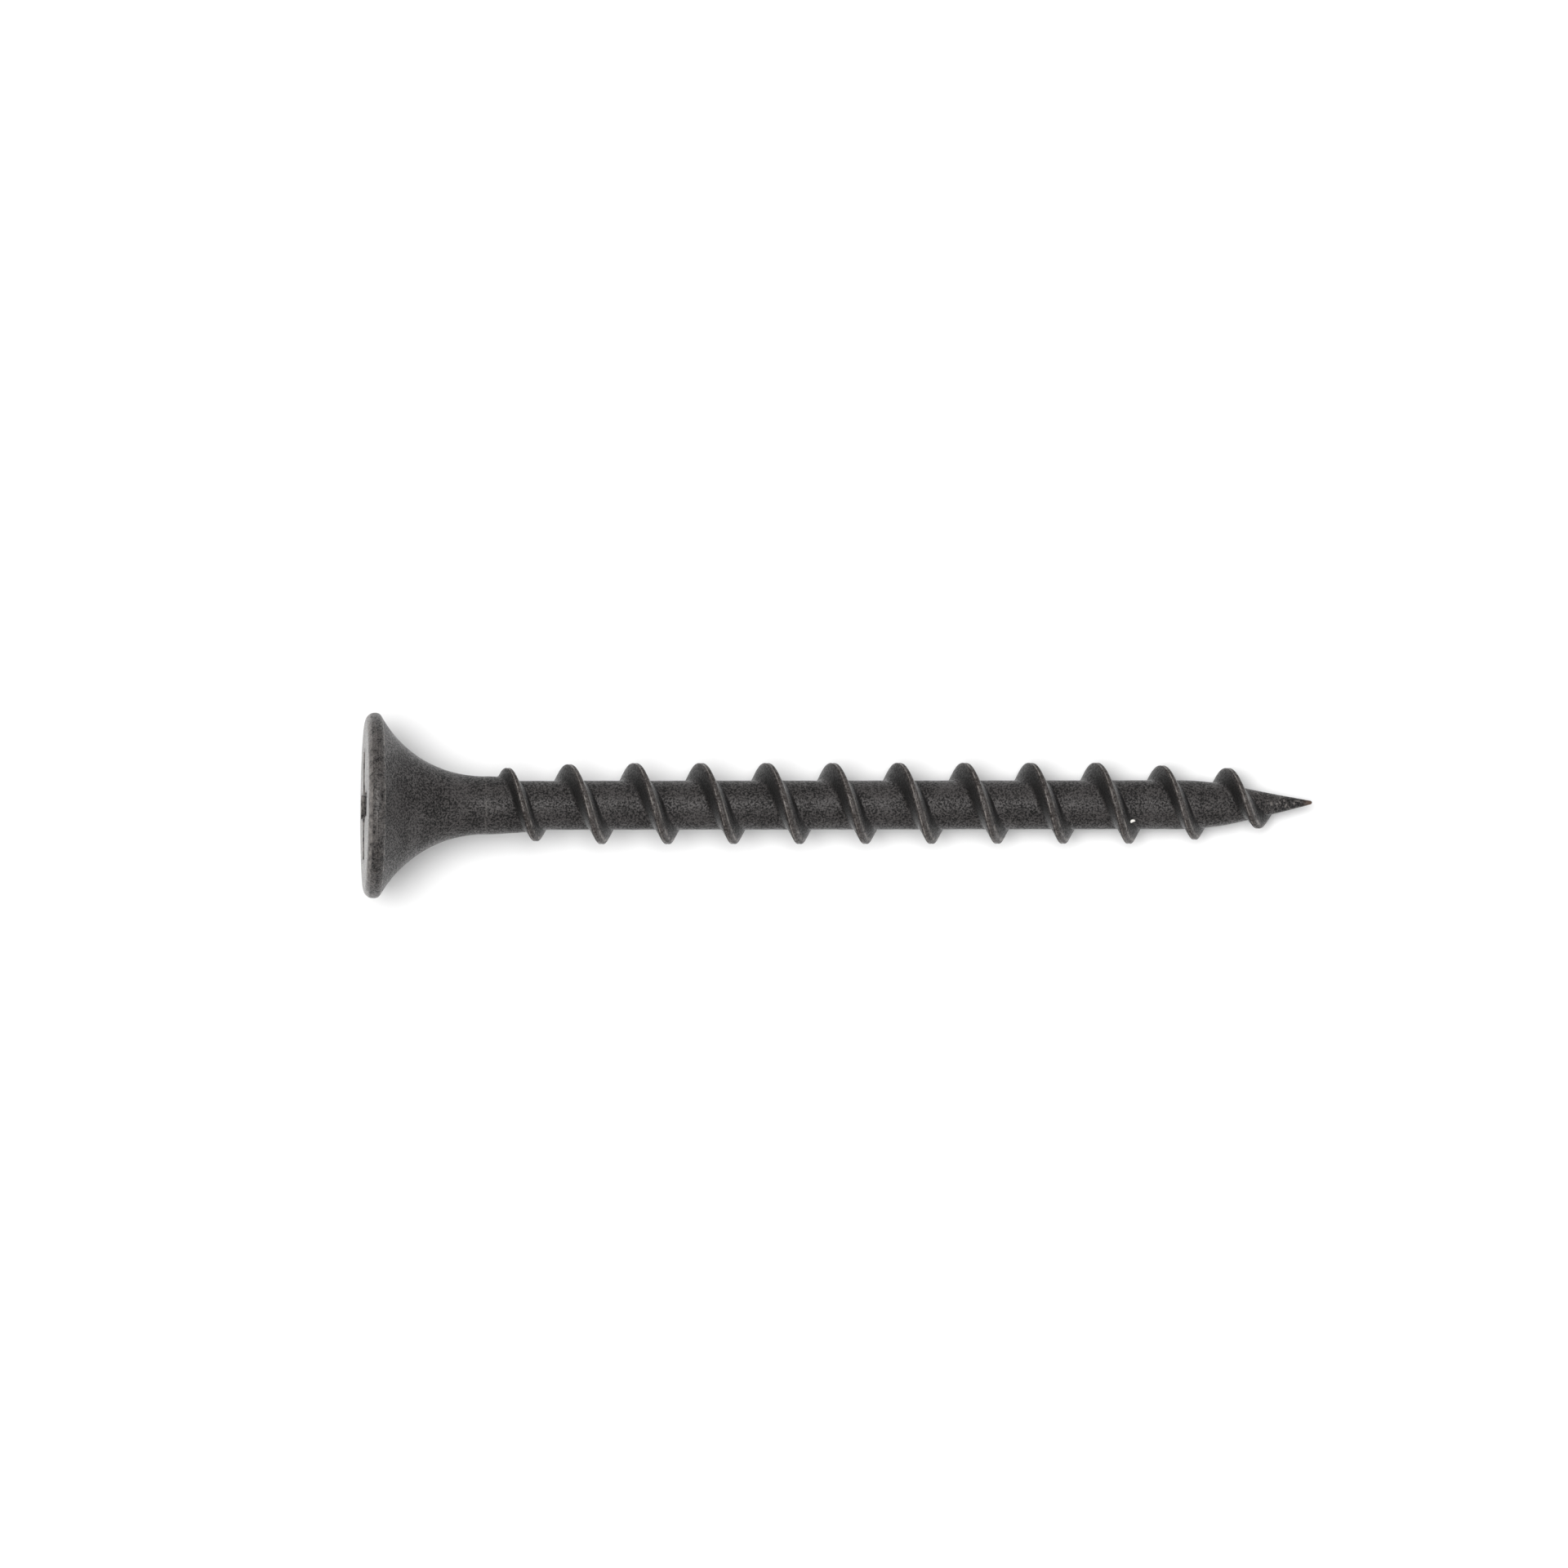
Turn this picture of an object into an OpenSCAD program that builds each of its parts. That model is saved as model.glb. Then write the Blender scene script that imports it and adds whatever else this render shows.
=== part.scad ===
// Wood screw with a bugle head, a cross recess and a single coarse right-hand thread.
// The screw's axis is +X: the head's flat face is at x = 0 and the point is at x = length.
// It is formed from one wire, and each named region of that one piece is a closed solid of its own.

/* [Overall] */
// Length from the head's flat face to the point
length = 41; // [32:1:57]

/* [Head] */
// Diameter of the head's rim
head_d = 8; // [7.6:0.1:8.6]
// Thickness of the rim, to the back of its rounding
rim_t = 0.77; // [0.72:0.01:0.85]
// Rounding of the rim's front edge
rim_front_round = 0.4; // [0.25:0.05:0.4]
// Rounding of the rim's back edge
rim_back_round = 0.3; // [0.15:0.05:0.3]
// Radius of the hollow arc under the head
flare_r = 5.1; // [4.9:0.05:5.3]

/* [Cross recess] */
// Span of the wings across the head's face
recess_span = 4.6; // [4.2:0.1:4.8]
// Width of each wing
wing_w = 1.02; // [0.9:0.02:1.1]
// Depth of the wings' outer edges
wing_depth = 2.45; // [2:0.05:2.6]
// Taper of the wings' outer edges from the axis, in degrees
wing_taper = 26.5; // [24:0.5:28]
// Angle of the conical bottom, across the cone, in degrees
bottom_angle = 140; // [130:1:150]
// Radius of the round pocket between the wings, at the face
pocket_r = 0.98; // [0.9:0.02:1.1]
// Turn of the cross about the axis, in degrees
recess_turn = -2.3; // [-45:0.1:45]

/* [Shank] */
// Diameter of the plain neck
neck_d = 2.52; // [2.4:0.02:2.6]
// Length of the plain neck behind the flare
neck_l = 1.05; // [0.8:0.05:1.4]
// Diameter of the core between the turns of thread
core_d = 2.12; // [2:0.02:2.2]

/* [Thread] */
// Diameter over the crests
thread_d = 3.5; // [3.3:0.05:3.9]
// Distance from one turn to the next
pitch = 2.85; // [2.6:0.05:3]
// Width of the flat crest
crest_w = 0.2; // [0.1:0.02:0.3]
// Slope of each flank from a plane across the axis, in degrees
flank_angle = 26; // [20:1:30]
// Facets in one turn of thread
turn_facets = 48; // [24:12:60]

/* [Point] */
// Half angle of the cone at the point, in degrees
point_half_angle = 12.4; // [11:0.1:14]
// Radius of the arc that blends the core into the cone
ogive_r = 12.5; // [8:0.5:16]
// Radius of the blunt end
tip_r = 0.07; // [0.05:0.01:0.12]

/* [Hidden] */
$fn = 96;

coat = [0.20, 0.19, 0.19];
coat_worn = [0.27, 0.25, 0.24];

head_r = head_d / 2;
neck_r = neck_d / 2;
core_r = core_d / 2;
thread_r = thread_d / 2;

// The flare's arc touches the rounding of the rim's back edge, and the neck at flare_end.
rim_back_x = rim_t - rim_back_round;
round_to_flare = flare_r + rim_back_round;
flare_start_angle = acos((neck_r + flare_r - head_r + rim_back_round) / round_to_flare);
flare_end = rim_back_x + round_to_flare * sin(flare_start_angle);
flare_steps = 24;
rim_steps = 8;

// The neck narrows to the core in a cone under the first turn of thread.
neck_end = flare_end + neck_l;
step_l = 0.6;
core_start = neck_end + step_l;

// The recess's cutters stand proud of the head's face, and its pocket narrows to the bottom.
proud = 0.2;
pocket_taper = 6;

// The cone runs back from the tip until the blending arc takes over.
ogive_l = ogive_r * sin(point_half_angle);
ogive_drop = ogive_r * (1 - cos(point_half_angle));
cone_r = core_r - ogive_drop;
cone_l = (cone_r - tip_r) / tan(point_half_angle);
cone_start = length - cone_l;
point_start = cone_start - ogive_l;
ogive_steps = 12;

// The ridge dips into the core by root_depth, so that the two are one without a gap.
root_depth = 0.05;
// The thread starts a little behind the flare, and stops short of the tip.
thread_start_gap = 0.13;
thread_end_gap = 1.65;
thread_start = flare_end + thread_start_gap;
thread_turns = (length - thread_end_gap - thread_start) / pitch;
point_turns = 1.5;
// The crest passes the +Y side first at first_crest.
first_crest_gap = 0.82;
first_crest = flare_end + first_crest_gap;
// The crest's radius as a share of the full one: [turns from the start, share] and [turns to the end, share].
run_in = [[0, 0.69], [0.25, 0.89], [1.75, 1]];
run_out = [[0, 0.47], [0.2, 0.63], [0.7, 0.865], [1.7, 0.93], [2.2, 1]];

// Points of an arc about centre, from angle a0 to angle a1.
function arc(centre, r, a0, a1, steps) =
    [for (i = [0:steps]) let (a = a0 + (a1 - a0) * i / steps) centre + r * [cos(a), sin(a)]];

// Radius of the core and the point at x, without the thread.
function body_r(x) =
    x < point_start ? core_r :
    x < cone_start ? core_r - ogive_r + sqrt(ogive_r ^ 2 - (x - point_start) ^ 2) :
    max(tip_r, cone_r - (x - cone_start) * tan(point_half_angle));

// Radius of the crest after t turns from the thread's start.
function crest_r(t) = thread_r * min(lookup(t, run_in), lookup(thread_turns - t, run_out));

// Turns an outline of [radius, distance from the head's face] about the screw's axis.
module turned(outline) {
    rotate([0, 90, 0])
        rotate_extrude()
            polygon(outline);
}

// One corner of the ridge: x along the axis, at radius r, on the helix at x_mid.
function on_helix(x_mid, x, r) =
    let (a = 360 * (x_mid - first_crest) / pitch) [x, r * cos(a), r * sin(a)];

// The four corners of the ridge's section after t turns.
function ridge_section(t) =
    let (
        x = thread_start + t * pitch,
        top = crest_r(t),
        half_crest = crest_w / 2,
        foot = body_r(x + half_crest + (top - body_r(x)) * tan(flank_angle)) - root_depth,
        half_foot = half_crest + (top - foot) * tan(flank_angle)
    )
    [
        on_helix(x, x - half_foot, foot),
        on_helix(x, x - half_crest, top),
        on_helix(x, x + half_crest, top),
        on_helix(x, x + half_foot, foot)
    ];

// The ridge between two counts of turns from the thread's start.
module ridge(t0, t1) {
    steps = ceil((t1 - t0) * turn_facets);
    sections = [for (i = [0:steps]) ridge_section(t0 + (t1 - t0) * i / steps)];
    corners = 4;
    last = steps * corners;
    sides = [
        for (i = [0:steps - 1], k = [0:corners - 1])
            let (a = i * corners + k, b = i * corners + (k + 1) % corners)
                each [[a, b, b + corners], [a, b + corners, a + corners]]
    ];
    ends = [[3, 2, 1, 0], [last, last + 1, last + 2, last + 3]];
    polyhedron([for (s = sections) each s], concat(sides, ends));
}

// One pair of opposite wings of the recess, seen from the side.
module wing_pair() {
    face_r = recess_span / 2;
    bottom_r = face_r - wing_depth * tan(wing_taper);
    bottom = wing_depth + bottom_r / tan(bottom_angle / 2);
    proud_r = face_r + proud * tan(wing_taper);
    translate([0, wing_w / 2, 0])
        rotate([90, 0, 0])
            linear_extrude(wing_w)
                polygon([
                    [-proud, -proud_r], [wing_depth, -bottom_r], [bottom, 0],
                    [wing_depth, bottom_r], [-proud, proud_r]
                ]);
}

// The recess: two pairs of wings, and the cone that rounds the corners between them.
module cross_recess() {
    pocket_bottom_r = pocket_r - wing_depth * tan(pocket_taper);
    rotate([recess_turn, 0, 0]) {
        wing_pair();
        rotate([90, 0, 0]) wing_pair();
        translate([-proud, 0, 0])
            rotate([0, 90, 0])
                cylinder(h = wing_depth + proud, r1 = pocket_r, r2 = pocket_bottom_r);
    }
}

module bugle_head() {
    rim_front = arc([head_r - rim_front_round, rim_front_round], rim_front_round, -90, 0, rim_steps);
    rim_back = arc([head_r - rim_back_round, rim_back_x], rim_back_round, 0, flare_start_angle, rim_steps);
    flare = arc([neck_r + flare_r, flare_end], flare_r, 180 + flare_start_angle, 180, flare_steps);
    color(coat)
        difference() {
            turned(concat([[0, 0]], rim_front, rim_back, [for (i = [1:flare_steps]) flare[i]], [[0, flare_end]]));
            cross_recess();
        }
}

module neck() {
    color(coat)
        turned([[0, flare_end], [neck_r, flare_end], [neck_r, neck_end], [core_r, core_start], [0, core_start]]);
}

module core() {
    color(coat)
        translate([core_start, 0, 0])
            rotate([0, 90, 0])
                cylinder(h = point_start - core_start, r = core_r);
}

module thread() {
    color(coat_worn) ridge(0, thread_turns - point_turns);
}

module point() {
    ogive = arc([core_r - ogive_r, point_start], ogive_r, 0, point_half_angle, ogive_steps);
    color(coat)
        turned(concat([[0, point_start]], ogive, [[tip_r, length], [0, length]]));
}

module point_thread() {
    color(coat_worn) ridge(thread_turns - point_turns, thread_turns);
}

bugle_head();
neck();
core();
thread();
point();
point_thread();
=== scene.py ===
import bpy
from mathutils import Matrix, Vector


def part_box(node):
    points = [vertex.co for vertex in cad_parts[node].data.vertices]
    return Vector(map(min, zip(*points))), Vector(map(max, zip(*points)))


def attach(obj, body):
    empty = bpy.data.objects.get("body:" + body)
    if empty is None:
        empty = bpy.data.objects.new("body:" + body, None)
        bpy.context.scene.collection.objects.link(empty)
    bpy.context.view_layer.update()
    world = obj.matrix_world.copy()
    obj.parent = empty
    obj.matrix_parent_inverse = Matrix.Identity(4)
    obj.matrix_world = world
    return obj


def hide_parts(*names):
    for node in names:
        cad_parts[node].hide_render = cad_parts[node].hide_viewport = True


bl_info = {
    "name": "Bugle-head wood screw",
    "version": (1, 0, 0),
    "blender": (4, 5, 0),
    "location": "3D View > Sidebar > Screw",
    "description": "Builds the visible skins of a black bugle-head screw around its packed CAD frame",
    "category": "Add Mesh",
}

import math

import bpy
import numpy as np
from bpy.props import FloatProperty, FloatVectorProperty, IntProperty, PointerProperty
from mathutils import Matrix, Vector, noise

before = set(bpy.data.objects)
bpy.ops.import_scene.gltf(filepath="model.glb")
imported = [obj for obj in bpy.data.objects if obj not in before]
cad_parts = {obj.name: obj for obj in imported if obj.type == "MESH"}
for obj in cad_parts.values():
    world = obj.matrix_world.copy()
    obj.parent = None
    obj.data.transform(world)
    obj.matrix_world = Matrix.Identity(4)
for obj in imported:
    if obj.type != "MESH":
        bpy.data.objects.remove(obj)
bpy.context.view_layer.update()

MM = 0.001
BODY = "root"
BLANK = "Screw blank"

# The frame gives the places where one region of the screw meets the next.
RIM_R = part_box("bugle_head")[1].y
FLARE_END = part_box("bugle_head")[1].x
NECK_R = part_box("neck")[1].y
CORE_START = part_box("core")[0].x
CORE_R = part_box("core")[1].y
POINT_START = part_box("point")[0].x
TIP_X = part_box("point")[1].x
CREST_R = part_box("thread")[1].z

# Points around each lofted skin.
HEAD_POINTS = 288
NECK_POINTS = 192
SHANK_POINTS = 160

# The crest's radius as a share of the full one: (turns from the start, share), and then (turns to
# the end, share).
RUN_IN = [(0, 0.69), (0.25, 0.885), (0.75, 0.925), (1.25, 0.97), (1.75, 1)]
RUN_OUT = [(0, 0.22), (0.22, 0.62), (0.7, 0.865), (1.7, 0.93), (2.2, 1)]

# Half of the ridge's section: (share of the way round, share of the half width) from the crest to
# the foot and back under it, and (share of the way round, share of the height).
SECTION_ACROSS = [
    (0, 0), (0.06, 0.05), (0.1, 0.1), (0.16, 0.17), (0.24, 0.25), (0.5, 0.5), (0.66, 0.68), (0.76, 0.85),
    (0.84, 1), (0.88, 0.9), (1, 0),
]
SECTION_UP = [
    (0, 0.985), (0.06, 0.99), (0.1, 1), (0.16, 0.985), (0.24, 0.88), (0.5, 0.42), (0.66, 0.15), (0.76, 0.045),
    (0.84, 0), (1, 0),
]


class HeadSettings(bpy.types.PropertyGroup):
    """Sizes of the bugle head and its cross recess."""

    rim_thickness: FloatProperty(
        name="Rim thickness", description="From the face to the back of the rim's rounding",
        default=0.77 * MM, unit="LENGTH",
    )
    front_round: FloatProperty(
        name="Front rounding", description="Rounding of the rim's front edge",
        default=0.4 * MM, unit="LENGTH",
    )
    back_round: FloatProperty(
        name="Back rounding", description="Rounding of the rim's back edge",
        default=0.3 * MM, unit="LENGTH",
    )
    flare_radius: FloatProperty(
        name="Flare radius", description="Radius of the hollow arc under the head",
        default=5.1 * MM, unit="LENGTH",
    )
    crown: FloatProperty(
        name="Crown", description="How far the face falls away towards its rim",
        default=0.03 * MM, unit="LENGTH",
    )
    lean: FloatProperty(
        name="Lean", description="How far the forged face is out of square, its +Y side set back",
        default=math.radians(0.7), subtype="ANGLE",
    )
    recess_span: FloatProperty(
        name="Recess span", description="Across two opposite wings at the face",
        default=4.6 * MM, unit="LENGTH",
    )
    wing_width: FloatProperty(
        name="Wing width", description="Width of each wing at the face", default=1.02 * MM, unit="LENGTH"
    )
    wing_depth: FloatProperty(
        name="Wing depth", description="Depth of the wings' outer edges", default=2.45 * MM, unit="LENGTH"
    )
    wing_taper: FloatProperty(
        name="Wing taper", description="Slope of the wings' outer edges from the axis",
        default=math.radians(26.5), subtype="ANGLE",
    )
    bottom_angle: FloatProperty(
        name="Bottom angle", description="Angle across the recess's conical bottom",
        default=math.radians(140), subtype="ANGLE",
    )
    pocket_radius: FloatProperty(
        name="Pocket radius", description="Radius that rounds the corners between the wings",
        default=0.98 * MM, unit="LENGTH",
    )
    recess_turn: FloatProperty(
        name="Recess turn", description="Turn of the cross about the screw's axis",
        default=math.radians(-2.3), subtype="ANGLE",
    )
    edge_round: FloatProperty(
        name="Recess edge", description="Rounding of the recess's edges", default=0.09 * MM, unit="LENGTH"
    )


class ShankSettings(bpy.types.PropertyGroup):
    """Sizes of the neck, the core and the point."""

    cone_half_angle: FloatProperty(
        name="Cone half angle", description="Half angle of the cone at the point",
        default=math.radians(12.4), subtype="ANGLE",
    )
    ogive_radius: FloatProperty(
        name="Ogive radius", description="Arc that blends the core into the cone",
        default=12.5 * MM, unit="LENGTH",
    )
    tip_radius: FloatProperty(
        name="Tip radius", description="Radius of the blunt end", default=0.08 * MM, unit="LENGTH"
    )
    tip_bend: FloatProperty(
        name="Tip bend", description="How far the pinched tip leans to +Y",
        default=0.09 * MM, unit="LENGTH",
    )
    unevenness: FloatProperty(
        name="Unevenness", description="Depth of the rolled surface's hollows",
        default=0.008 * MM, unit="LENGTH",
    )


class ThreadSettings(bpy.types.PropertyGroup):
    """Sizes of the rolled thread."""

    pitch: FloatProperty(
        name="Pitch", description="From one turn to the next", default=2.85 * MM, unit="LENGTH"
    )
    start_gap: FloatProperty(
        name="Start gap", description="From the flare's end to the thread's start",
        default=0.13 * MM, unit="LENGTH",
    )
    first_crest_gap: FloatProperty(
        name="First crest", description="From the flare's end to the first crest on the +Y side",
        default=0.82 * MM, unit="LENGTH",
    )
    end_gap: FloatProperty(
        name="End gap", description="From the thread's end to the tip", default=1.65 * MM, unit="LENGTH"
    )
    crest_width: FloatProperty(
        name="Crest width", description="Width of the flat crest", default=0.24 * MM, unit="LENGTH"
    )
    flank_angle: FloatProperty(
        name="Flank angle", description="Slope of each flank from a plane across the axis",
        default=math.radians(26), subtype="ANGLE",
    )
    root_fillet: FloatProperty(
        name="Root fillet", description="How far each foot runs out beyond its flank",
        default=0.12 * MM, unit="LENGTH",
    )
    eccentricity: FloatProperty(
        name="Eccentricity", description="How far the crests' circle lies off the axis, to +Y",
        default=0.07 * MM, unit="LENGTH",
    )
    point_turns: FloatProperty(name="Point turns", description="Turns of thread on the point", default=1.5)
    steps_per_turn: IntProperty(name="Steps", description="Sections in one turn of thread", default=128)
    section_points: IntProperty(name="Section points", description="Points around one section", default=48)
    seed: IntProperty(name="Seed", description="Seed of the crest's unevenness", default=7)


class FinishSettings(bpy.types.PropertyGroup):
    """Colours of the phosphate coat and of what shows where it is worn."""

    coat: FloatVectorProperty(
        name="Coat", description="Phosphate coat",
        default=(0.0022, 0.002, 0.0019), subtype="COLOR", size=3,
    )
    crystal: FloatVectorProperty(
        name="Crystals", description="Lit crystals of the coat",
        default=(0.062, 0.057, 0.056), subtype="COLOR", size=3,
    )
    # Also the colour of the painted highlight on the thread's crest and of the painted reflection on the
    # head's face.
    worn: FloatVectorProperty(
        name="Worn coat", description="Coat rubbed thin on edges",
        default=(0.24, 0.22, 0.205), subtype="COLOR", size=3,
    )
    rust: FloatVectorProperty(
        name="Brown film", description="Brown film on the crests and the tip",
        default=(0.1, 0.066, 0.05), subtype="COLOR", size=3,
    )
    chip: FloatVectorProperty(
        name="Chip", description="Pale fleck in the coat",
        default=(0.8, 0.78, 0.74), subtype="COLOR", size=3,
    )
    chip_from_tip: FloatProperty(
        name="Chip from tip", description="From the tip back to the chip", default=7.9 * MM, unit="LENGTH"
    )
    chip_angle: FloatProperty(
        name="Chip angle", description="Where the chip is around the core, from +Y towards +Z",
        default=math.radians(131), subtype="ANGLE",
    )
    chip_length: FloatProperty(
        name="Chip length", description="Length of the chip along the axis",
        default=0.34 * MM, unit="LENGTH",
    )
    crystal_size: FloatProperty(
        name="Crystal size", description="Size of the coat's speckle", default=0.08 * MM, unit="LENGTH"
    )


class StageSettings(bpy.types.PropertyGroup):
    """The floor, the lights and the camera."""

    floor_colour: FloatVectorProperty(
        name="Floor", description="Colour of the floor", default=(0.9, 0.9, 0.9), subtype="COLOR", size=3
    )
    sky_strength: FloatProperty(name="Sky", description="Strength of the white surroundings", default=0.18)
    key_power: FloatProperty(
        name="Key", description="Power of the overhead softbox", default=9.6, unit="POWER"
    )
    key_size: FloatProperty(
        name="Key size", description="Diameter of the overhead softbox", default=0.574, unit="LENGTH"
    )
    key_from: FloatVectorProperty(
        name="Key from", description="Where the overhead softbox hangs",
        default=(-0.1, 0.08, 1), subtype="DIRECTION", size=3,
    )
    fill_power: FloatProperty(
        name="Fill", description="Power of the fill softbox", default=3.0, unit="POWER"
    )
    fill_size: FloatProperty(
        name="Fill size", description="Diameter of the fill softbox", default=0.8, unit="LENGTH"
    )
    fill_from: FloatVectorProperty(
        name="Fill from", description="Where the fill softbox stands",
        default=(-0.6, 0.1, 1), subtype="DIRECTION", size=3,
    )
    side_power: FloatProperty(
        name="Side", description="Power of the low softbox", default=2.6, unit="POWER"
    )
    side_size: FloatProperty(
        name="Side size", description="Diameter of the low softbox", default=0.6, unit="LENGTH"
    )
    side_from: FloatVectorProperty(
        name="Side from", description="Where the low softbox stands",
        default=(1, -0.5, 0.5), subtype="DIRECTION", size=3,
    )
    lens: FloatProperty(name="Lens", description="Focal length in millimetres", default=500.0)
    view_width: FloatProperty(
        name="View width", description="Width that the camera sees at the screw",
        default=67.62 * MM, unit="LENGTH",
    )
    look_x: FloatProperty(
        name="Look along", description="Place on the screw's axis at the middle of the view",
        default=18.14 * MM, unit="LENGTH",
    )
    look_y: FloatProperty(
        name="Look aside", description="How far beside the axis the middle of the view is",
        default=0.91 * MM, unit="LENGTH",
    )
    roll: FloatProperty(
        name="Roll", description="Turn of the camera about its line of sight",
        default=math.radians(-0.05), subtype="ANGLE",
    )


class Tree:
    """Puts nodes into a node tree. An input takes a plain value or another node's output."""

    def __init__(self, tree):
        self.tree = tree

    def feed(self, socket, value):
        if isinstance(value, bpy.types.NodeSocket):
            self.tree.links.new(value, socket)
        else:
            socket.default_value = value

    def add(self, kind, inputs=None, **settings):
        node = self.tree.nodes.new(kind)
        for name, value in settings.items():
            setattr(node, name, value)
        for key, value in (inputs or {}).items():
            self.feed(node.inputs[key], value)
        return node

    def math(self, operation, *values, clamp=False):
        node = self.add("ShaderNodeMath", dict(enumerate(values)), operation=operation, use_clamp=clamp)
        return node.outputs[0]

    def remap(self, value, low, high, to_low=0.0, to_high=1.0, smooth=False):
        node = self.add(
            "ShaderNodeMapRange",
            {"Value": value, "From Min": low, "From Max": high, "To Min": to_low, "To Max": to_high},
            interpolation_type="SMOOTHSTEP" if smooth else "LINEAR",
        )
        return node.outputs["Result"]

    def curve(self, value, points):
        """A smooth curve through the points, which run from 0 to 1 both ways."""
        node = self.add("ShaderNodeFloatCurve", {"Value": value})
        curve = node.mapping.curves[0]
        while len(curve.points) < len(points):
            curve.points.new(0.5, 0.5)
        for point, place in zip(curve.points, points):
            point.location = place
        node.mapping.update()
        return node.outputs[0]

    def mix(self, share, a, b):
        node = self.add("ShaderNodeMix", data_type="RGBA")
        colours = [s for s in node.inputs if s.type == "RGBA"]
        self.feed(node.inputs["Factor"], share)
        self.feed(colours[0], a)
        self.feed(colours[1], b)
        return next(s for s in node.outputs if s.type == "RGBA")

    def noise(self, vector, size, detail=2.0, rough=0.5, output="Fac"):
        node = self.add(
            "ShaderNodeTexNoise", {"Vector": vector, "Scale": 1 / size, "Detail": detail, "Roughness": rough}
        )
        return node.outputs[output]


def new_group(name, kind, inputs, outputs):
    """A node group with its input and output nodes; inputs are (name, socket type, default)."""
    tree = bpy.data.node_groups.new(name, kind)
    for label, socket, default in inputs:
        made = tree.interface.new_socket(name=label, in_out="INPUT", socket_type=socket)
        if default is not None:
            made.default_value = default
    for label, socket in outputs:
        tree.interface.new_socket(name=label, in_out="OUTPUT", socket_type=socket)
    return tree, tree.nodes.new("NodeGroupInput").outputs, tree.nodes.new("NodeGroupOutput").inputs


# ---------------------------------------------------------------------------------------------
# Meshes


def rgba(colour):
    return (*colour, 1.0)


def angles(count):
    """Angles of a ring's points, from +Y towards +Z."""
    return np.arange(count) * 2 * math.pi / count


def bulge(x, r, phi, depth, size):
    """Slow hollows and swellings of a surface at radius r, up to depth."""
    points = np.stack(np.broadcast_arrays(x, r * np.cos(phi), r * np.sin(phi)), -1).reshape(-1, 3) / size
    return depth * np.array([noise.noise(Vector(p)) for p in points]).reshape(np.broadcast(x, r, phi).shape)


def loft(name, x, r, masks=None, sideways=0.0, flat_ends=(True, True)):
    """A closed skin through rings at x and radius r, both shaped (rings, points), with a pole at each end."""
    rings, count = x.shape
    phi = angles(count)
    y = r * np.cos(phi) + sideways
    z = r * np.sin(phi)
    skin = np.stack([x, y, z], -1).reshape(-1, 3)
    poles = [skin[:count].mean(0), skin[-count:].mean(0)]
    start, end = rings * count, rings * count + 1
    here = np.arange(count)
    after = (here + 1) % count
    quads = [
        np.stack([k * count + here, k * count + after, (k + 1) * count + after, (k + 1) * count + here], -1)
        for k in range(rings - 1)
    ]
    last = (rings - 1) * count
    first_fan = np.stack([np.full(count, start), after, here], -1)
    last_fan = np.stack([np.full(count, end), last + here, last + after], -1)
    faces = first_fan.tolist() + last_fan.tolist() + np.concatenate(quads).tolist()
    mesh = bpy.data.meshes.new(name)
    mesh.from_pydata(np.vstack([skin, poles]).tolist(), [], faces)
    smooth = np.ones(len(faces), bool)
    smooth[:count] = not flat_ends[0]
    smooth[count:2 * count] = not flat_ends[1]
    mesh.polygons.foreach_set("use_smooth", smooth)
    corners = np.empty(2 * len(mesh.edges), int)
    mesh.edges.foreach_get("vertices", corners)
    corners = corners.reshape(-1, 2)
    first_ring = (corners < count).all(1)
    last_ring = ((corners >= last) & (corners < start)).all(1)
    mesh.edges.foreach_set("use_edge_sharp", flat_ends[0] & first_ring | flat_ends[1] & last_ring)
    for mask, values in (masks or {}).items():
        layer = mesh.attributes.new(mask, "FLOAT", "POINT")
        whole = np.append(np.broadcast_to(values, x.shape).ravel(), [0.0, 0.0])
        layer.data.foreach_set("value", whole.astype(np.float32))
    return bpy.data.objects.new(name, mesh)


def finish_piece(piece, material, slot, *nodes):
    """Gives a piece its material, hangs it from the body's empty and hides the CAD nodes that it stands for.
    """
    if not piece.data.materials:
        piece.data.materials.append(material)
    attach(piece, BODY)
    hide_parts(*nodes)


def blank_collection():
    """The collection that holds the unthreaded skins, which the thread is laid on."""
    found = bpy.data.collections.get(BLANK)
    if found is None:
        found = bpy.data.collections.new(BLANK)
        bpy.context.scene.collection.children.link(found)
    return found


def ring(x, r, count):
    """A ring as an array of two rows: x and the radius at each of its points."""
    return np.array([x * np.ones(count), r * np.ones(count)])


def between(a, b, steps):
    """The rings between two others."""
    return [a + (b - a) * k / steps for k in range(1, steps)]


def soft_corner(before, corner, after, size, steps):
    """The rings that round the corner ring between its two neighbours."""
    into = before - corner
    out = after - corner
    start = corner + into * size / np.maximum(np.hypot(*into), size)
    end = corner + out * size / np.maximum(np.hypot(*out), size)
    shares = [k / steps for k in range(steps + 1)]
    return [(1 - s) ** 2 * start + 2 * s * (1 - s) * corner + s ** 2 * end for s in shares]


def blend_min(a, b, width):
    """The smaller of a and b, with the change between them spread over width."""
    share = np.clip(0.5 + 0.5 * (b - a) / width, 0, 1)
    return b * (1 - share) + a * share - width * share * (1 - share)


# ---------------------------------------------------------------------------------------------
# The head


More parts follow.
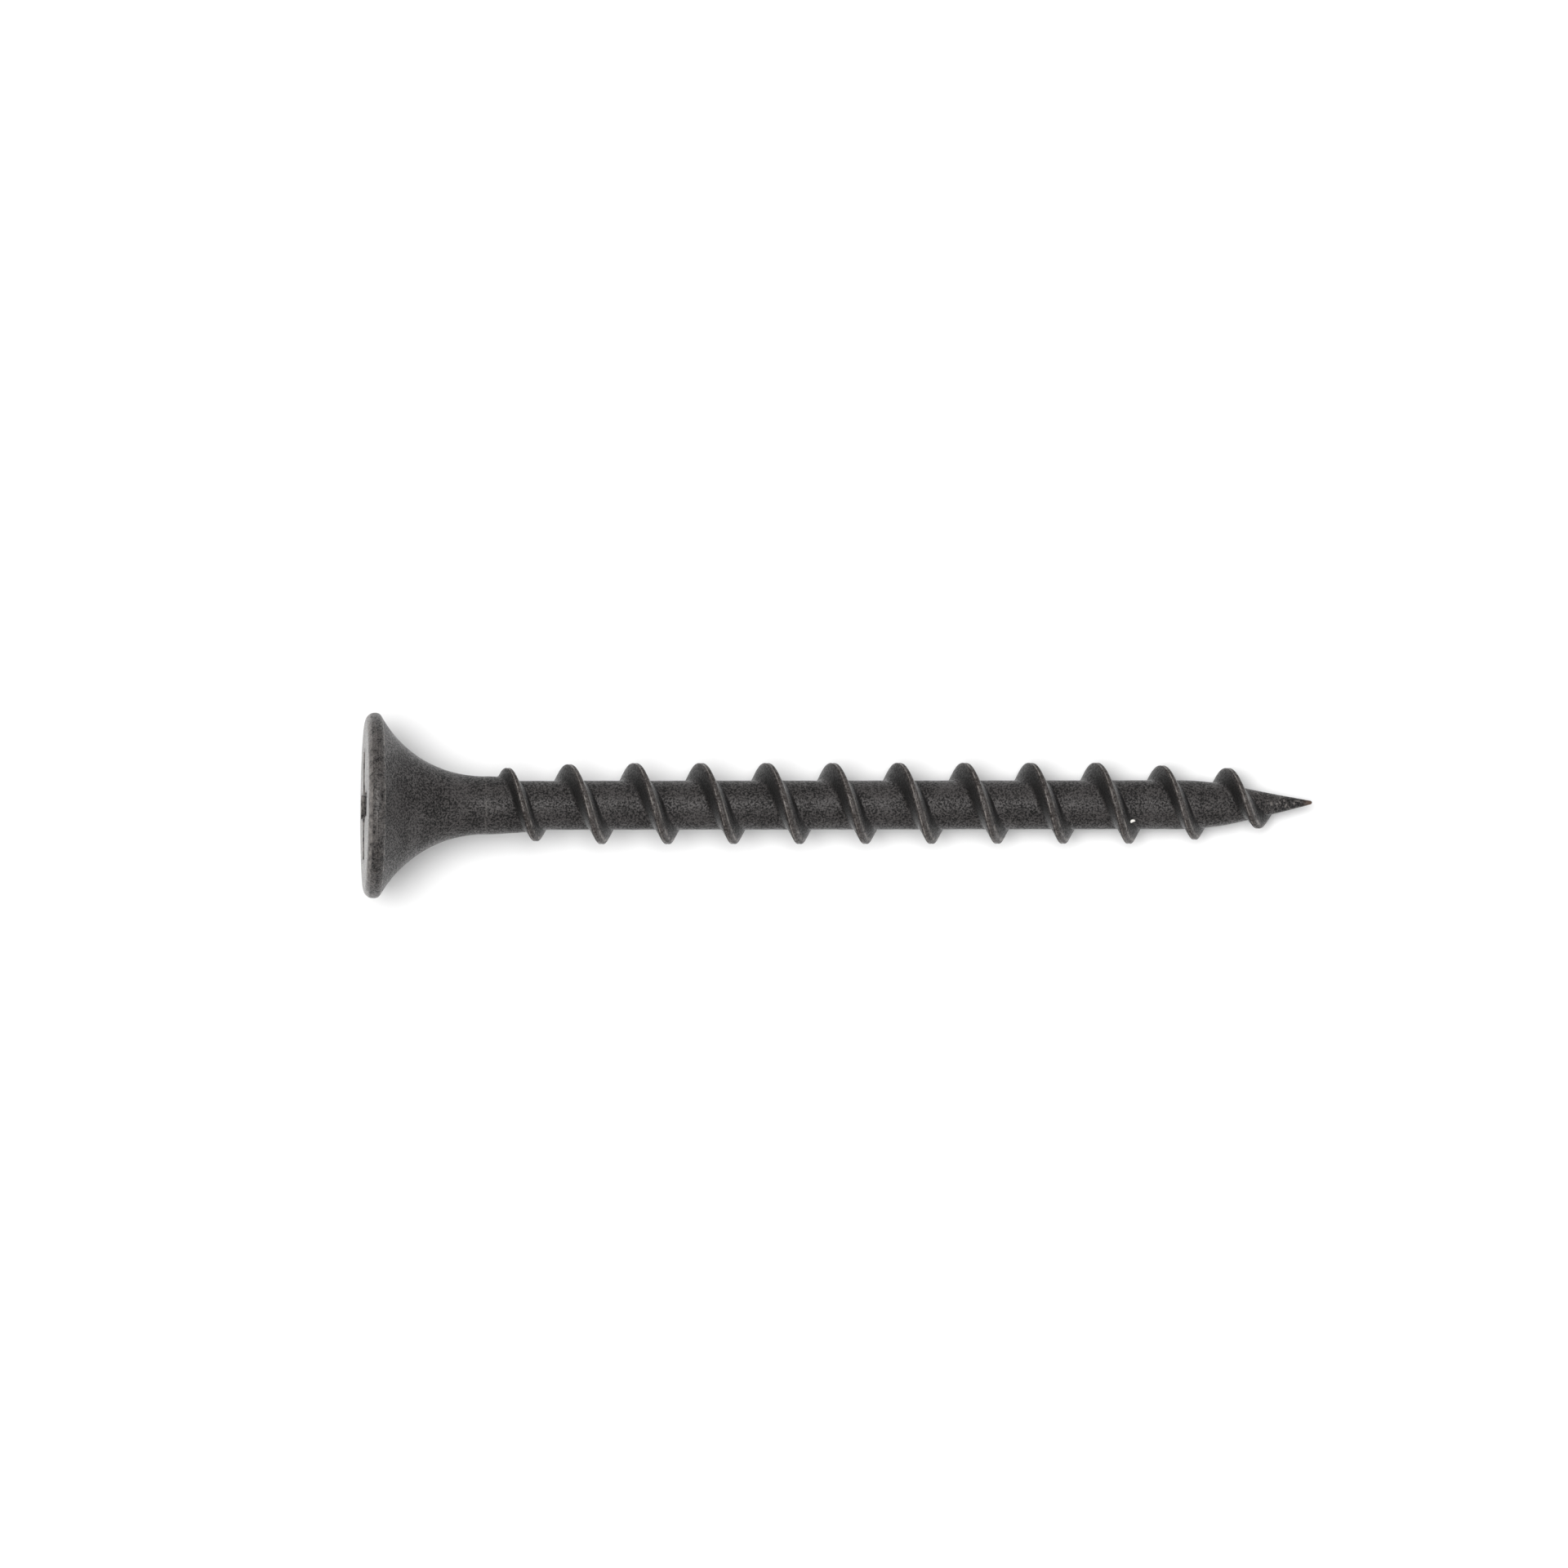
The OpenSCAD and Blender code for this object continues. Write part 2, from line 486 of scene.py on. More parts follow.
def recess_radius(head, phi, depth):
    """Radius of the recess's wall at an angle and a depth below the face."""
    quarter = math.pi / 2
    off = np.abs((phi - head.recess_turn + quarter / 2) % quarter - quarter / 2)
    tiny = 1e-6
    draft = math.radians(1.5)
    pocket_draft = math.radians(6)
    corner = 0.12 * MM
    wing_end = (head.recess_span / 2 - depth * math.tan(head.wing_taper)) / np.cos(off)
    wing_side = (head.wing_width / 2 - depth * math.tan(draft)) / np.maximum(np.sin(off), tiny)
    pocket = head.pocket_radius - depth * math.tan(pocket_draft)
    wing = blend_min(wing_end, np.minimum(wing_side, 2 * wing_end), corner)
    return -blend_min(-wing, -pocket * np.ones_like(wing), corner)


def head_rings(head, count):
    """The head's rings from the recess's bottom, over the face and the rim, to the flare's end."""
    phi = angles(count)
    end_r = head.recess_span / 2 - head.wing_depth * math.tan(head.wing_taper)
    fall = 1 / math.tan(head.bottom_angle / 2)
    bottom = head.wing_depth + end_r * fall
    foot_x = np.full(count, head.wing_depth)
    for _ in range(6):
        foot_r = recess_radius(head, phi, foot_x)
        foot_x = bottom - foot_r * fall
    face_r = RIM_R - head.front_round
    apex, foot = ring(bottom, 0.0, count), ring(foot_x, foot_r, count)
    mouth, outer = ring(0.0, recess_radius(head, phi, 0), count), ring(0.0, face_r, count)
    rings, edges, depths = [], [], []

    def put(more, edge=0.0, deep=0.0):
        rings.extend(more)
        edges.extend([edge] * len(more))
        depths.extend([deep] * len(more))

    foot_corner = soft_corner(apex, foot, mouth, 2 * head.edge_round, 5)
    mouth_corner = soft_corner(foot, mouth, outer, head.edge_round, 6)
    put(between(apex, foot_corner[0], 12), deep=1.0)
    put(foot_corner, deep=1.0)
    put(between(foot_corner[-1], mouth_corner[0], 26), deep=0.8)
    put(mouth_corner, edge=1.0, deep=0.2)
    put(between(mouth_corner[-1], outer, 10))
    for face_ring, deep in zip(rings, depths):
        if deep == 0:
            face_ring[0] += head.crown * (face_ring[1] / face_r) ** 2

    def arc(centre_x, centre_r, radius, a0, a1, steps):
        turns = [a0 + (a1 - a0) * k / steps for k in range(steps + 1)]
        return [
            ring(centre_x - radius * math.cos(a), centre_r + radius * math.sin(a), count) for a in turns
        ]

    half = math.pi / 2
    put(arc(head.crown + head.front_round, face_r, head.front_round, 0, half, 12), edge=0.3)
    back_x = head.rim_thickness - head.back_round
    put(between(rings[-1], ring(back_x, RIM_R, count), 4))
    flare_to_round = head.flare_radius + head.back_round
    touch = math.acos((NECK_R + flare_to_round - RIM_R) / flare_to_round)
    put(arc(back_x, RIM_R - head.back_round, head.back_round, half, half + touch, 10), edge=0.2)
    edges[-2:] = [0.8, 1.0]
    steps = 64
    for k in range(1, steps + 1):
        a = touch * (1 - k / steps)
        r = NECK_R + head.flare_radius * (1 - math.cos(a))
        put([ring(FLARE_END - head.flare_radius * math.sin(a), r, count)])
    x, r = np.array(rings).transpose(1, 0, 2)
    face = (x < head.front_round / 2) & (np.array(depths)[:, None] == 0)
    return x, r, {"edge": np.array(edges)[:, None], "depth": np.array(depths)[:, None], "face": face}


class SCREW_OT_head(bpy.types.Operator):
    """Builds the bugle head with its cross recess"""

    bl_idname = "screw.head"
    bl_label = "Build head"

    def execute(self, context):
        head = context.scene.screw_head
        x, r, masks = head_rings(head, HEAD_POINTS)
        phi = angles(HEAD_POINTS)
        neck_blend = 1.5 * MM
        towards_neck = np.clip(1 - (FLARE_END - x) / neck_blend, 0, 1)
        face_blend_start = 0.1 * MM
        face_blend = MM
        off_face = np.clip((x - face_blend_start) / face_blend, 0, 1)
        forged = bulge(x, r, phi, depth=0.012 * MM, size=1.1 * MM) * off_face
        uneven = forged * (1 - towards_neck) + rolled(context.scene, x, r, phi) * towards_neck
        r = r + uneven * (masks["depth"] == 0)
        lean_reach = 2 * MM
        x = x + r * np.cos(phi) * math.tan(head.lean) * np.clip(1 - x / lean_reach, 0, 1)
        piece = loft("bugle_head_skin", x, r, masks, flat_ends=(False, True))
        blank_collection().objects.link(piece)
        finish_piece(piece, head_finish(context.scene.screw_finish), "head_coat", "bugle_head")
        return {"FINISHED"}


# ---------------------------------------------------------------------------------------------
# Neck, core and point


def thread_place(scene):
    """The thread's start along the axis, its angle there, and its number of turns."""
    thread = scene.screw_thread
    start = FLARE_END + thread.start_gap
    angle = 2 * math.pi * (thread.start_gap - thread.first_crest_gap) / thread.pitch
    return start, angle, (TIP_X - thread.end_gap - start) / thread.pitch


def blank_radius(scene, x, phi):
    """Radius of the screw without its thread. The neck gives way to the core behind the first turn."""
    shank = scene.screw_shank
    start, angle, _ = thread_place(scene)
    pitch = scene.screw_thread.pitch
    turn = ((phi - angle) / (2 * math.pi)) % 1
    worn_down = np.clip((x - start) / pitch, 0, 1) ** 1.3
    neck = NECK_R - (NECK_R - CORE_R) * worn_down
    step_length = 0.3 * MM
    step_run_in = 0.2
    behind = np.clip((x - (start + pitch * turn)) / step_length + 0.5, 0, 1)
    settled = np.clip(turn / step_run_in, 0, 1)
    share = (behind * settled) ** 2 * (3 - 2 * behind * settled)
    shank_r = neck + (CORE_R - neck) * share

    ogive_l = shank.ogive_radius * math.sin(shank.cone_half_angle)
    into = np.clip(x - POINT_START, 0, ogive_l)
    ogive_r = CORE_R - shank.ogive_radius + np.sqrt(shank.ogive_radius ** 2 - into ** 2)
    cone_r = ogive_r - np.maximum(x - POINT_START - ogive_l, 0) * math.tan(shank.cone_half_angle)
    return np.where(x < POINT_START, shank_r, np.maximum(cone_r, shank.tip_radius))


def tip_lean(scene, x):
    """How far the axis leans to +Y near the tip."""
    lean_length = 4 * MM
    lean_from = TIP_X - lean_length
    share = np.clip((x - lean_from) / (TIP_X - lean_from), 0, 1)
    return scene.screw_shank.tip_bend * share ** 2


def rolled(scene, x, r, phi):
    """The shallow hollows that rolling leaves on the shank."""
    return bulge(x, r, phi, scene.screw_shank.unevenness, size=0.6 * MM)


def shank_rings(scene, x0, x1, step, count):
    """The rings of the blank from x0 to x1."""
    x = np.linspace(x0, x1, max(2, round((x1 - x0) / step) + 1))[:, None] * np.ones(count)
    phi = angles(count)
    r = blank_radius(scene, x, phi)
    return x, r + rolled(scene, x, r, phi)


class SCREW_OT_neck(bpy.types.Operator):
    """Builds the plain neck behind the flare"""

    bl_idname = "screw.neck"
    bl_label = "Build neck"

    def execute(self, context):
        scene = context.scene
        x, r = shank_rings(scene, FLARE_END, CORE_START, 0.03 * MM, NECK_POINTS)
        mark_place = FLARE_END + 0.04 * MM
        mark_width = 0.035 * MM
        die_mark = 0.6 * np.exp(-(((x - mark_place) / mark_width) ** 2))
        piece = loft("neck_skin", x, r, {"edge": die_mark})
        blank_collection().objects.link(piece)
        finish_piece(piece, shank_finish(scene.screw_finish), "shank_coat", "neck")
        return {"FINISHED"}


class SCREW_OT_core(bpy.types.Operator):
    """Builds the core between the turns of thread"""

    bl_idname = "screw.core"
    bl_label = "Build core"

    def execute(self, context):
        scene = context.scene
        x, r = shank_rings(scene, CORE_START, POINT_START, 0.1 * MM, SHANK_POINTS)
        piece = loft("core_skin", x, r)
        blank_collection().objects.link(piece)
        finish_piece(piece, shank_finish(scene.screw_finish), "shank_coat", "core")
        return {"FINISHED"}


class SCREW_OT_point(bpy.types.Operator):
    """Builds the point: an arc into a cone with a small blunt end"""

    bl_idname = "screw.point"
    bl_label = "Build point"

    def execute(self, context):
        scene = context.scene
        tip_r = scene.screw_shank.tip_radius
        x, r = shank_rings(scene, POINT_START, TIP_X - tip_r, 0.08 * MM, SHANK_POINTS)
        cap_steps = 6
        cap = [math.pi / 2 * k / cap_steps for k in range(1, cap_steps)]
        cap_x = np.array([TIP_X - tip_r + tip_r * math.sin(a) for a in cap])[:, None] * np.ones(SHANK_POINTS)
        cap_r = np.array([tip_r * math.cos(a) for a in cap])[:, None] * np.ones(SHANK_POINTS)
        x, r = np.vstack([x, cap_x]), np.vstack([r, cap_r])
        piece = loft("point_skin", x, r, sideways=tip_lean(scene, x), flat_ends=(True, False))
        blank_collection().objects.link(piece)
        finish_piece(piece, shank_finish(scene.screw_finish), "shank_coat", "point")
        return {"FINISHED"}


# ---------------------------------------------------------------------------------------------
# Thread


def thread_nodes(turns):
    """Geometry nodes that lay a ridge on the blank along a helix. The ridge is a tube with closed ends."""
    tree, given, result = new_group(
        "Rolled thread",
        "GeometryNodeTree",
        [
            ("Blank", "NodeSocketCollection", None),
            ("Start", "NodeSocketFloat", 0.0),
            ("Start Angle", "NodeSocketFloat", 0.0),
            ("Pitch", "NodeSocketFloat", 0.003),
            ("Turns", "NodeSocketFloat", 10.0),
            ("From Turn", "NodeSocketFloat", 0.0),
            ("To Turn", "NodeSocketFloat", 10.0),
            ("Crest Radius", "NodeSocketFloat", 0.00175),
            ("Crest Width", "NodeSocketFloat", 0.0002),
            ("Flank Angle", "NodeSocketFloat", 0.45),
            ("Root Fillet", "NodeSocketFloat", 0.00015),
            ("Eccentricity", "NodeSocketFloat", 0.0),
            ("Foot Depth", "NodeSocketFloat", 0.00003),
            ("Start Lag", "NodeSocketFloat", 0.00035),
            ("Unevenness", "NodeSocketFloat", 0.01),
            ("Steps per Turn", "NodeSocketInt", 128),
            ("Section Points", "NodeSocketInt", 48),
            ("Seed", "NodeSocketInt", 0),
            ("Material", "NodeSocketMaterial", None),
        ],
        [("Mesh", "NodeSocketGeometry")],
    )
    t = Tree(tree)
    span = t.math("SUBTRACT", given["To Turn"], given["From Turn"])
    steps = t.math("CEIL", t.math("MULTIPLY", span, given["Steps per Turn"]))
    tube = t.add(
        "GeometryNodeMeshCylinder",
        {"Vertices": given["Section Points"], "Side Segments": steps, "Radius": 1.0, "Depth": 1.0},
        fill_type="NGON",
    )
    place = t.add("ShaderNodeSeparateXYZ", {0: t.add("GeometryNodeInputPosition").outputs[0]})
    round_angle = t.math("ARCTAN2", place.outputs["Y"], place.outputs["X"])
    way_round = t.math("DIVIDE", t.math("ABSOLUTE", round_angle), math.pi)
    side = t.math("SIGN", round_angle)
    across = t.curve(way_round, SECTION_ACROSS)
    up = t.curve(way_round, SECTION_UP)
    turn = t.remap(place.outputs["Z"], -0.5, 0.5, given["From Turn"], given["To Turn"])

    run = sorted({(a / turns, b) for a, b in RUN_IN} | {(1 - a / turns, b) for a, b in RUN_OUT})
    crest_share = t.curve(t.math("DIVIDE", turn, given["Turns"]), run)
    waves_per_turn = 9.0
    along = t.add(
        "ShaderNodeCombineXYZ", {"X": t.math("MULTIPLY", turn, waves_per_turn), "Y": given["Seed"]}
    )
    wave = t.math("SUBTRACT", t.noise(along.outputs[0], 1.0, detail=3.0), 0.5)
    uneven = t.math("MULTIPLY_ADD", wave, given["Unevenness"], 1.0)
    angle = t.math("MULTIPLY_ADD", turn, 2 * math.pi, given["Start Angle"])
    cosine, sine = t.math("COSINE", angle), t.math("SINE", angle)
    round_crest = t.math("MULTIPLY", t.math("MULTIPLY", given["Crest Radius"], crest_share), uneven)
    crest_r = t.math("MULTIPLY_ADD", given["Eccentricity"], cosine, round_crest)

    lag_turns = 0.75
    lag_left = t.math("POWER", t.remap(turn, 0.0, lag_turns, 1.0, 0.0), 1.5)
    lag = t.math("MULTIPLY", lag_left, given["Start Lag"])
    middle = t.math("ADD", t.math("MULTIPLY_ADD", turn, given["Pitch"], given["Start"]), lag)

    inside = t.add("GeometryNodeCollectionInfo", {"Collection": given["Blank"]}, transform_space="ORIGINAL")
    blank = t.add("GeometryNodeRealizeInstances", {"Geometry": inside.outputs[0]}).outputs[0]
    reach = 5 * MM
    inward = t.add(
        "ShaderNodeCombineXYZ", {"Y": t.math("MULTIPLY", cosine, -1.0), "Z": t.math("MULTIPLY", sine, -1.0)}
    ).outputs[0]

    def point_at(x, radius):
        parts = {"X": x, "Y": t.math("MULTIPLY", cosine, radius), "Z": t.math("MULTIPLY", sine, radius)}
        return t.add("ShaderNodeCombineXYZ", parts).outputs[0]

    def blank_at(x):
        ray = t.add(
            "GeometryNodeRaycast",
            {"Target Geometry": blank, "Source Position": point_at(x, reach), "Ray Direction": inward,
             "Ray Length": reach},
        )
        return t.math("SUBTRACT", reach, ray.outputs["Hit Distance"])

    height = t.math("MAXIMUM", t.math("SUBTRACT", crest_r, blank_at(middle)), 0.0)
    flat = t.math("MULTIPLY_ADD", given["Crest Width"], 0.5, given["Root Fillet"])
    half_width = t.math("MULTIPLY_ADD", height, t.math("TANGENT", given["Flank Angle"]), flat)
    offset = t.math("MULTIPLY", t.math("MULTIPLY", across, side), half_width)
    x = t.math("ADD", middle, offset)
    foot_r = t.math("SUBTRACT", blank_at(x), given["Foot Depth"])
    rise = t.math("MULTIPLY", up, t.math("SUBTRACT", crest_r, foot_r))
    marked = tube.outputs["Mesh"]
    for name, value in (("crest", up), ("across", t.math("MULTIPLY", across, side)), ("turn", turn)):
        marked = t.add(
            "GeometryNodeStoreNamedAttribute", {"Geometry": marked, "Name": name, "Value": value},
            data_type="FLOAT", domain="POINT",
        ).outputs[0]
    laid = point_at(x, t.math("ADD", foot_r, rise))
    shaped = t.add("GeometryNodeSetPosition", {"Geometry": marked, "Position": laid})
    smooth = t.add(
        "GeometryNodeSetShadeSmooth", {"Geometry": shaped.outputs[0], "Shade Smooth": tube.outputs["Side"]}
    )
    bend = t.add("GeometryNodeInputMeshEdgeAngle").outputs["Unsigned Angle"]
    sharpest_smooth = 1.2
    cap_edge = t.add(
        "FunctionNodeCompare", {0: bend, 1: sharpest_smooth}, data_type="FLOAT", operation="GREATER_THAN"
    )
    creased = t.add(
        "GeometryNodeSetShadeSmooth",
        {"Geometry": smooth.outputs[0], "Selection": cap_edge.outputs[0], "Shade Smooth": False},
        domain="EDGE",
    )
    whole = t.add("GeometryNodeRealizeInstances", {"Geometry": creased.outputs[0]}).outputs[0]
    coated = t.add("GeometryNodeSetMaterial", {"Geometry": whole, "Material": given["Material"]})
    t.feed(result["Mesh"], coated.outputs[0])
    return tree


def plain_mesh(name, tree, values):
    """Runs a geometry-nodes tree with the given inputs and keeps its result as a plain mesh."""
    maker = bpy.data.objects.new(name + "_maker", bpy.data.meshes.new(name + "_maker"))
    bpy.context.scene.collection.objects.link(maker)
    modifier = maker.modifiers.new(name, "NODES")
    modifier.node_group = tree
    sockets = {s.name: s.identifier for s in tree.interface.items_tree if s.in_out == "INPUT"}
    for label, value in values.items():
        modifier[sockets[label]] = value
    bpy.context.view_layer.update()
    done = maker.evaluated_get(bpy.context.evaluated_depsgraph_get())
    mesh = bpy.data.meshes.new_from_object(done)
    mesh.name = name
    bpy.data.objects.remove(maker)
    piece = bpy.data.objects.new(name, mesh)
    bpy.context.scene.collection.objects.link(piece)
    return piece


class SCREW_OT_thread(bpy.types.Operator):
    """Lays the thread on the core, and its last turns on the point"""

    bl_idname = "screw.thread"
    bl_label = "Build thread"

    def execute(self, context):
        scene = context.scene
        thread = scene.screw_thread
        start, angle, turns = thread_place(scene)
        tree = thread_nodes(turns)
        coat = thread_finish(scene.screw_finish)
        shared = {
            "Blank": blank_collection(),
            "Start": start,
            "Start Angle": angle,
            "Pitch": thread.pitch,
            "Turns": turns,
            "Crest Radius": CREST_R,
            "Crest Width": thread.crest_width,
            "Flank Angle": thread.flank_angle,
            "Root Fillet": thread.root_fillet,
            "Eccentricity": thread.eccentricity,
            "Steps per Turn": thread.steps_per_turn,
            "Section Points": thread.section_points,
            "Seed": thread.seed,
            "Material": coat,
        }
        split = turns - thread.point_turns
        for node, first, last in (("thread", 0.0, split), ("point_thread", split, turns)):
            piece = plain_mesh(node + "_ridge", tree, shared | {"From Turn": first, "To Turn": last})
            if not piece.data.polygons:
                raise RuntimeError(f"the {node} came out empty")
            finish_piece(piece, coat, "thread_coat", node)
        return {"FINISHED"}


# ---------------------------------------------------------------------------------------------
# Finishes


def coat_group(finish):
    """The phosphate coat: a fine speckle of crystals over slow clouds, as colour, roughness and height."""
    found = bpy.data.node_groups.get("Phosphate coat")
    if found:
        return found
    tree, given, result = new_group(
        "Phosphate coat",
        "ShaderNodeTree",
        [
            ("Vector", "NodeSocketVector", None),
            ("Crystal Size", "NodeSocketFloat", finish.crystal_size),
            ("Dark", "NodeSocketColor", rgba(finish.coat)),
            ("Light", "NodeSocketColor", rgba(finish.crystal)),
        ],
        [("Colour", "NodeSocketColor"), ("Roughness", "NodeSocketFloat"), ("Height", "NodeSocketFloat")],
    )
    t = Tree(tree)
    scale = t.math("DIVIDE", 1.0, given["Crystal Size"])
    fine = t.add(
        "ShaderNodeTexNoise", {"Vector": given["Vector"], "Scale": scale, "Detail": 2.0, "Roughness": 0.7}
    )
    speckle = t.remap(fine.outputs["Fac"], 0.41, 0.6)
    cloud_size = 1.2 * MM
    cloud_depth = 0.22
    clouds = t.remap(t.noise(given["Vector"], cloud_size, detail=3.0), 0.3, 0.7, -cloud_depth, cloud_depth)
    tone = t.math("ADD", speckle, clouds, clamp=True)
    t.feed(result["Colour"], t.mix(tone, given["Dark"], given["Light"]))
    t.feed(result["Roughness"], t.remap(tone, 0.0, 1.0, 0.75, 0.4))
    t.feed(result["Height"], fine.outputs["Fac"])
    return tree


def wear_group():
    """Edge wear: where a mask is high, crystals are rubbed off in broken patches."""
    found = bpy.data.node_groups.get("Edge wear")
    if found:
        return found
    tree, given, result = new_group(
        "Edge wear",
        "ShaderNodeTree",
        [
            ("Vector", "NodeSocketVector", None),
            ("Edge", "NodeSocketFloat", 0.0),
            ("Amount", "NodeSocketFloat", 0.5),
        ],
        [("Mask", "NodeSocketFloat")],
    )
    t = Tree(tree)
    patches = t.noise(given["Vector"], 0.35 * MM, detail=4.0, rough=0.7)
    broken = t.remap(patches, 0.42, 0.6)
    worn = t.math("MULTIPLY", given["Edge"], broken)
    t.feed(result["Mask"], t.math("MULTIPLY", worn, given["Amount"], clamp=True))
    return tree


def chip_group():
    """A chip in the coat: a ragged oval about a centre, twice as long along the axis as it is wide."""
    found = bpy.data.node_groups.get("Coat chip")
    if found:
        return found
    tree, given, result = new_group(
        "Coat chip",
        "ShaderNodeTree",
        [
            ("Vector", "NodeSocketVector", None),
            ("Centre", "NodeSocketVector", None),
            ("Length", "NodeSocketFloat", 0.0003),
        ],
        [("Mask", "NodeSocketFloat")],
    )
    t = Tree(tree)
    off = t.add("ShaderNodeVectorMath", {0: given["Vector"], 1: given["Centre"]}, operation="SUBTRACT")
    oval = t.add("ShaderNodeVectorMath", {0: off.outputs[0], 1: (1, 2, 2)}, operation="MULTIPLY")
    distance = t.add("ShaderNodeVectorMath", {0: oval.outputs[0]}, operation="LENGTH").outputs["Value"]
    reach = t.math("DIVIDE", t.math("MULTIPLY", distance, 2.0), given["Length"])
    ragged = t.math("MULTIPLY_ADD", t.noise(given["Vector"], 0.12 * MM), 0.8, reach)
    t.feed(result["Mask"], t.remap(ragged, 1.45, 1.3))
    return tree


def new_coat(name, finish):
    """A coated-steel material: returns it, its tree, its Principled shader, and the coat's sockets."""
    material = bpy.data.materials.new(name)
    material.use_nodes = True
    t = Tree(material.node_tree)
    shader = material.node_tree.nodes["Principled BSDF"]
    vector = t.add("ShaderNodeTexCoord").outputs["Object"]
    coat = t.add("ShaderNodeGroup", {"Vector": vector}, node_tree=coat_group(finish))
    shader.inputs["IOR"].default_value = 1.5
    shader.inputs["Specular IOR Level"].default_value = 0.24
    shader.inputs["Sheen Weight"].default_value = 0.18
    shader.inputs["Sheen Roughness"].default_value = 0.35
    bump = t.add(
        "ShaderNodeBump", {"Height": coat.outputs["Height"], "Strength": 0.5, "Distance": 0.03 * MM}
    )
    t.feed(shader.inputs["Normal"], bump.outputs["Normal"])
    t.feed(shader.inputs["Roughness"], coat.outputs["Roughness"])
    return material, t, shader, vector, coat


def edge_wear(t, vector, edge, amount):
    """Mask of the coat that is rubbed off along an edge."""
    wear = t.add(
        "ShaderNodeGroup", {"Vector": vector, "Edge": edge, "Amount": amount}, node_tree=wear_group()
    )
    return wear.outputs["Mask"]


def attribute(t, name):
    return t.add("ShaderNodeAttribute", attribute_name=name).outputs["Fac"]


def band(t, value, middle, half):
    """A mask that is full where the value is at the middle, and nothing beyond half to each side."""
    return t.remap(t.math("ABSOLUTE", t.math("SUBTRACT", value, middle)), half, 0.0)


def once(make):
    """Makes a finish the first time it is asked for, and finds it after that."""

    def find_or_make(finish):
        return bpy.data.materials.get(make.__name__) or make(finish)

    return find_or_make


def chip_mask(t, vector, finish):
    """Mask of the one chip in the coat, on the core and on the foot of the turn beside it."""
    angle = finish.chip_angle
    centre = (TIP_X - finish.chip_from_tip, CORE_R * math.cos(angle), CORE_R * math.sin(angle))
    chip = t.add(
        "ShaderNodeGroup", {"Vector": vector, "Centre": centre, "Length": finish.chip_length},
        node_tree=chip_group(),
    )
    return chip.outputs["Mask"]


@once
def head_finish(finish):
    """The coat with rubbed edges, and thinner and paler in patches on the face: partly worn coat, partly
    painted reflection.
    """
    material, t, shader, vector, coat = new_coat("head_finish", finish)
    worn = edge_wear(t, vector, attribute(t, "edge"), 0.75)
    face = attribute(t, "face")
    # Painted reflection: the face is made paler in patches, partly for thin coat and partly for the light
    # that it reflects at a grazing angle.
    face_wear_and_painted_reflection = t.remap(t.noise(vector, 0.25 * MM, detail=3.0, rough=0.7), 0.35, 0.65, 0.1, 0.75)
    rubbed = t.math("MAXIMUM", worn, t.math("MULTIPLY", face, face_wear_and_painted_reflection))
    t.feed(shader.inputs["Base Color"], t.mix(rubbed, coat.outputs["Colour"], rgba(finish.worn)))
    t.feed(shader.inputs["Roughness"], t.math("MULTIPLY_ADD", face, -0.15, coat.outputs["Roughness"]))
    return material


@once
def shank_finish(finish):
    """The coat with the die's faint mark, specks on the cone, a brown tip and the chip."""
    material, t, shader, vector, coat = new_coat("shank_finish", finish)
    worn = edge_wear(t, vector, attribute(t, "edge"), 0.6)
    body = t.mix(worn, coat.outputs["Colour"], rgba(finish.worn))
    along = t.add("ShaderNodeSeparateXYZ", {0: vector}).outputs["X"]
    cone_margin = 1.5 * MM
    on_cone = t.remap(along, POINT_START + cone_margin, TIP_X - cone_margin)
    specks = t.math("MULTIPLY", t.remap(t.noise(vector, 0.13 * MM), 0.6, 0.68), on_cone)
    specked = t.mix(t.math("MULTIPLY", specks, 0.45), body, rgba(finish.worn))
    at_tip = t.remap(along, TIP_X - 0.5 * MM, TIP_X - 0.05 * MM, 0.0, 0.8, smooth=True)
    browned = t.mix(at_tip, specked, rgba(finish.rust))
    t.feed(shader.inputs["Base Color"], t.mix(chip_mask(t, vector, finish), browned, rgba(finish.chip)))
    return material


@once
def thread_finish(finish):
    """The coat with painted shade darkening each flank, a lip along each side of the crest that is partly
    rubbed coat and partly painted highlight, a faint painted highlight over the crest, and a brown film on
    top.

    Bands lie across the ridge, from -1 at its foot towards the head to 1 at its foot towards the point."""
    material, t, shader, vector, coat = new_coat("thread_finish", finish)
    across = attribute(t, "across")
    crest = attribute(t, "crest")
    brown = t.remap(crest, 0.5, 1.0, 0.0, 0.08)
    body = t.mix(brown, coat.outputs["Colour"], rgba(finish.rust))
    # Painted shade: each flank is darkened towards the bare coat colour, standing in for the shade that falls
    # on it.
    flank_shade_bands = t.math("MAXIMUM", band(t, across, -0.45, 0.4), band(t, across, 0.75, 0.42))
    hollow = t.math("MULTIPLY", flank_shade_bands, 1.5, clamp=True)
    flank_shaded = t.mix(t.math("MULTIPLY", hollow, 0.85), body, rgba(finish.coat))
    # Each lip along the crest is made paler: partly coat rubbed off, partly painted highlight.
    lip_wear_and_highlight = t.math("MAXIMUM", band(t, across, -0.06, 0.06), band(t, across, 0.33, 0.08))
    lip_patches_wear_and_highlight = edge_wear(t, vector, lip_wear_and_highlight, 1.0)
    # A faint painted highlight makes the middle of the crest paler.
    rubbed = t.math("MAXIMUM", lip_patches_wear_and_highlight, t.math("MULTIPLY", band(t, across, 0.16, 0.3), 0.06))
    worn = t.mix(rubbed, flank_shaded, rgba(finish.worn))
    t.feed(shader.inputs["Base Color"], t.mix(chip_mask(t, vector, finish), worn, rgba(finish.chip)))
    return material


# ---------------------------------------------------------------------------------------------
# The stage


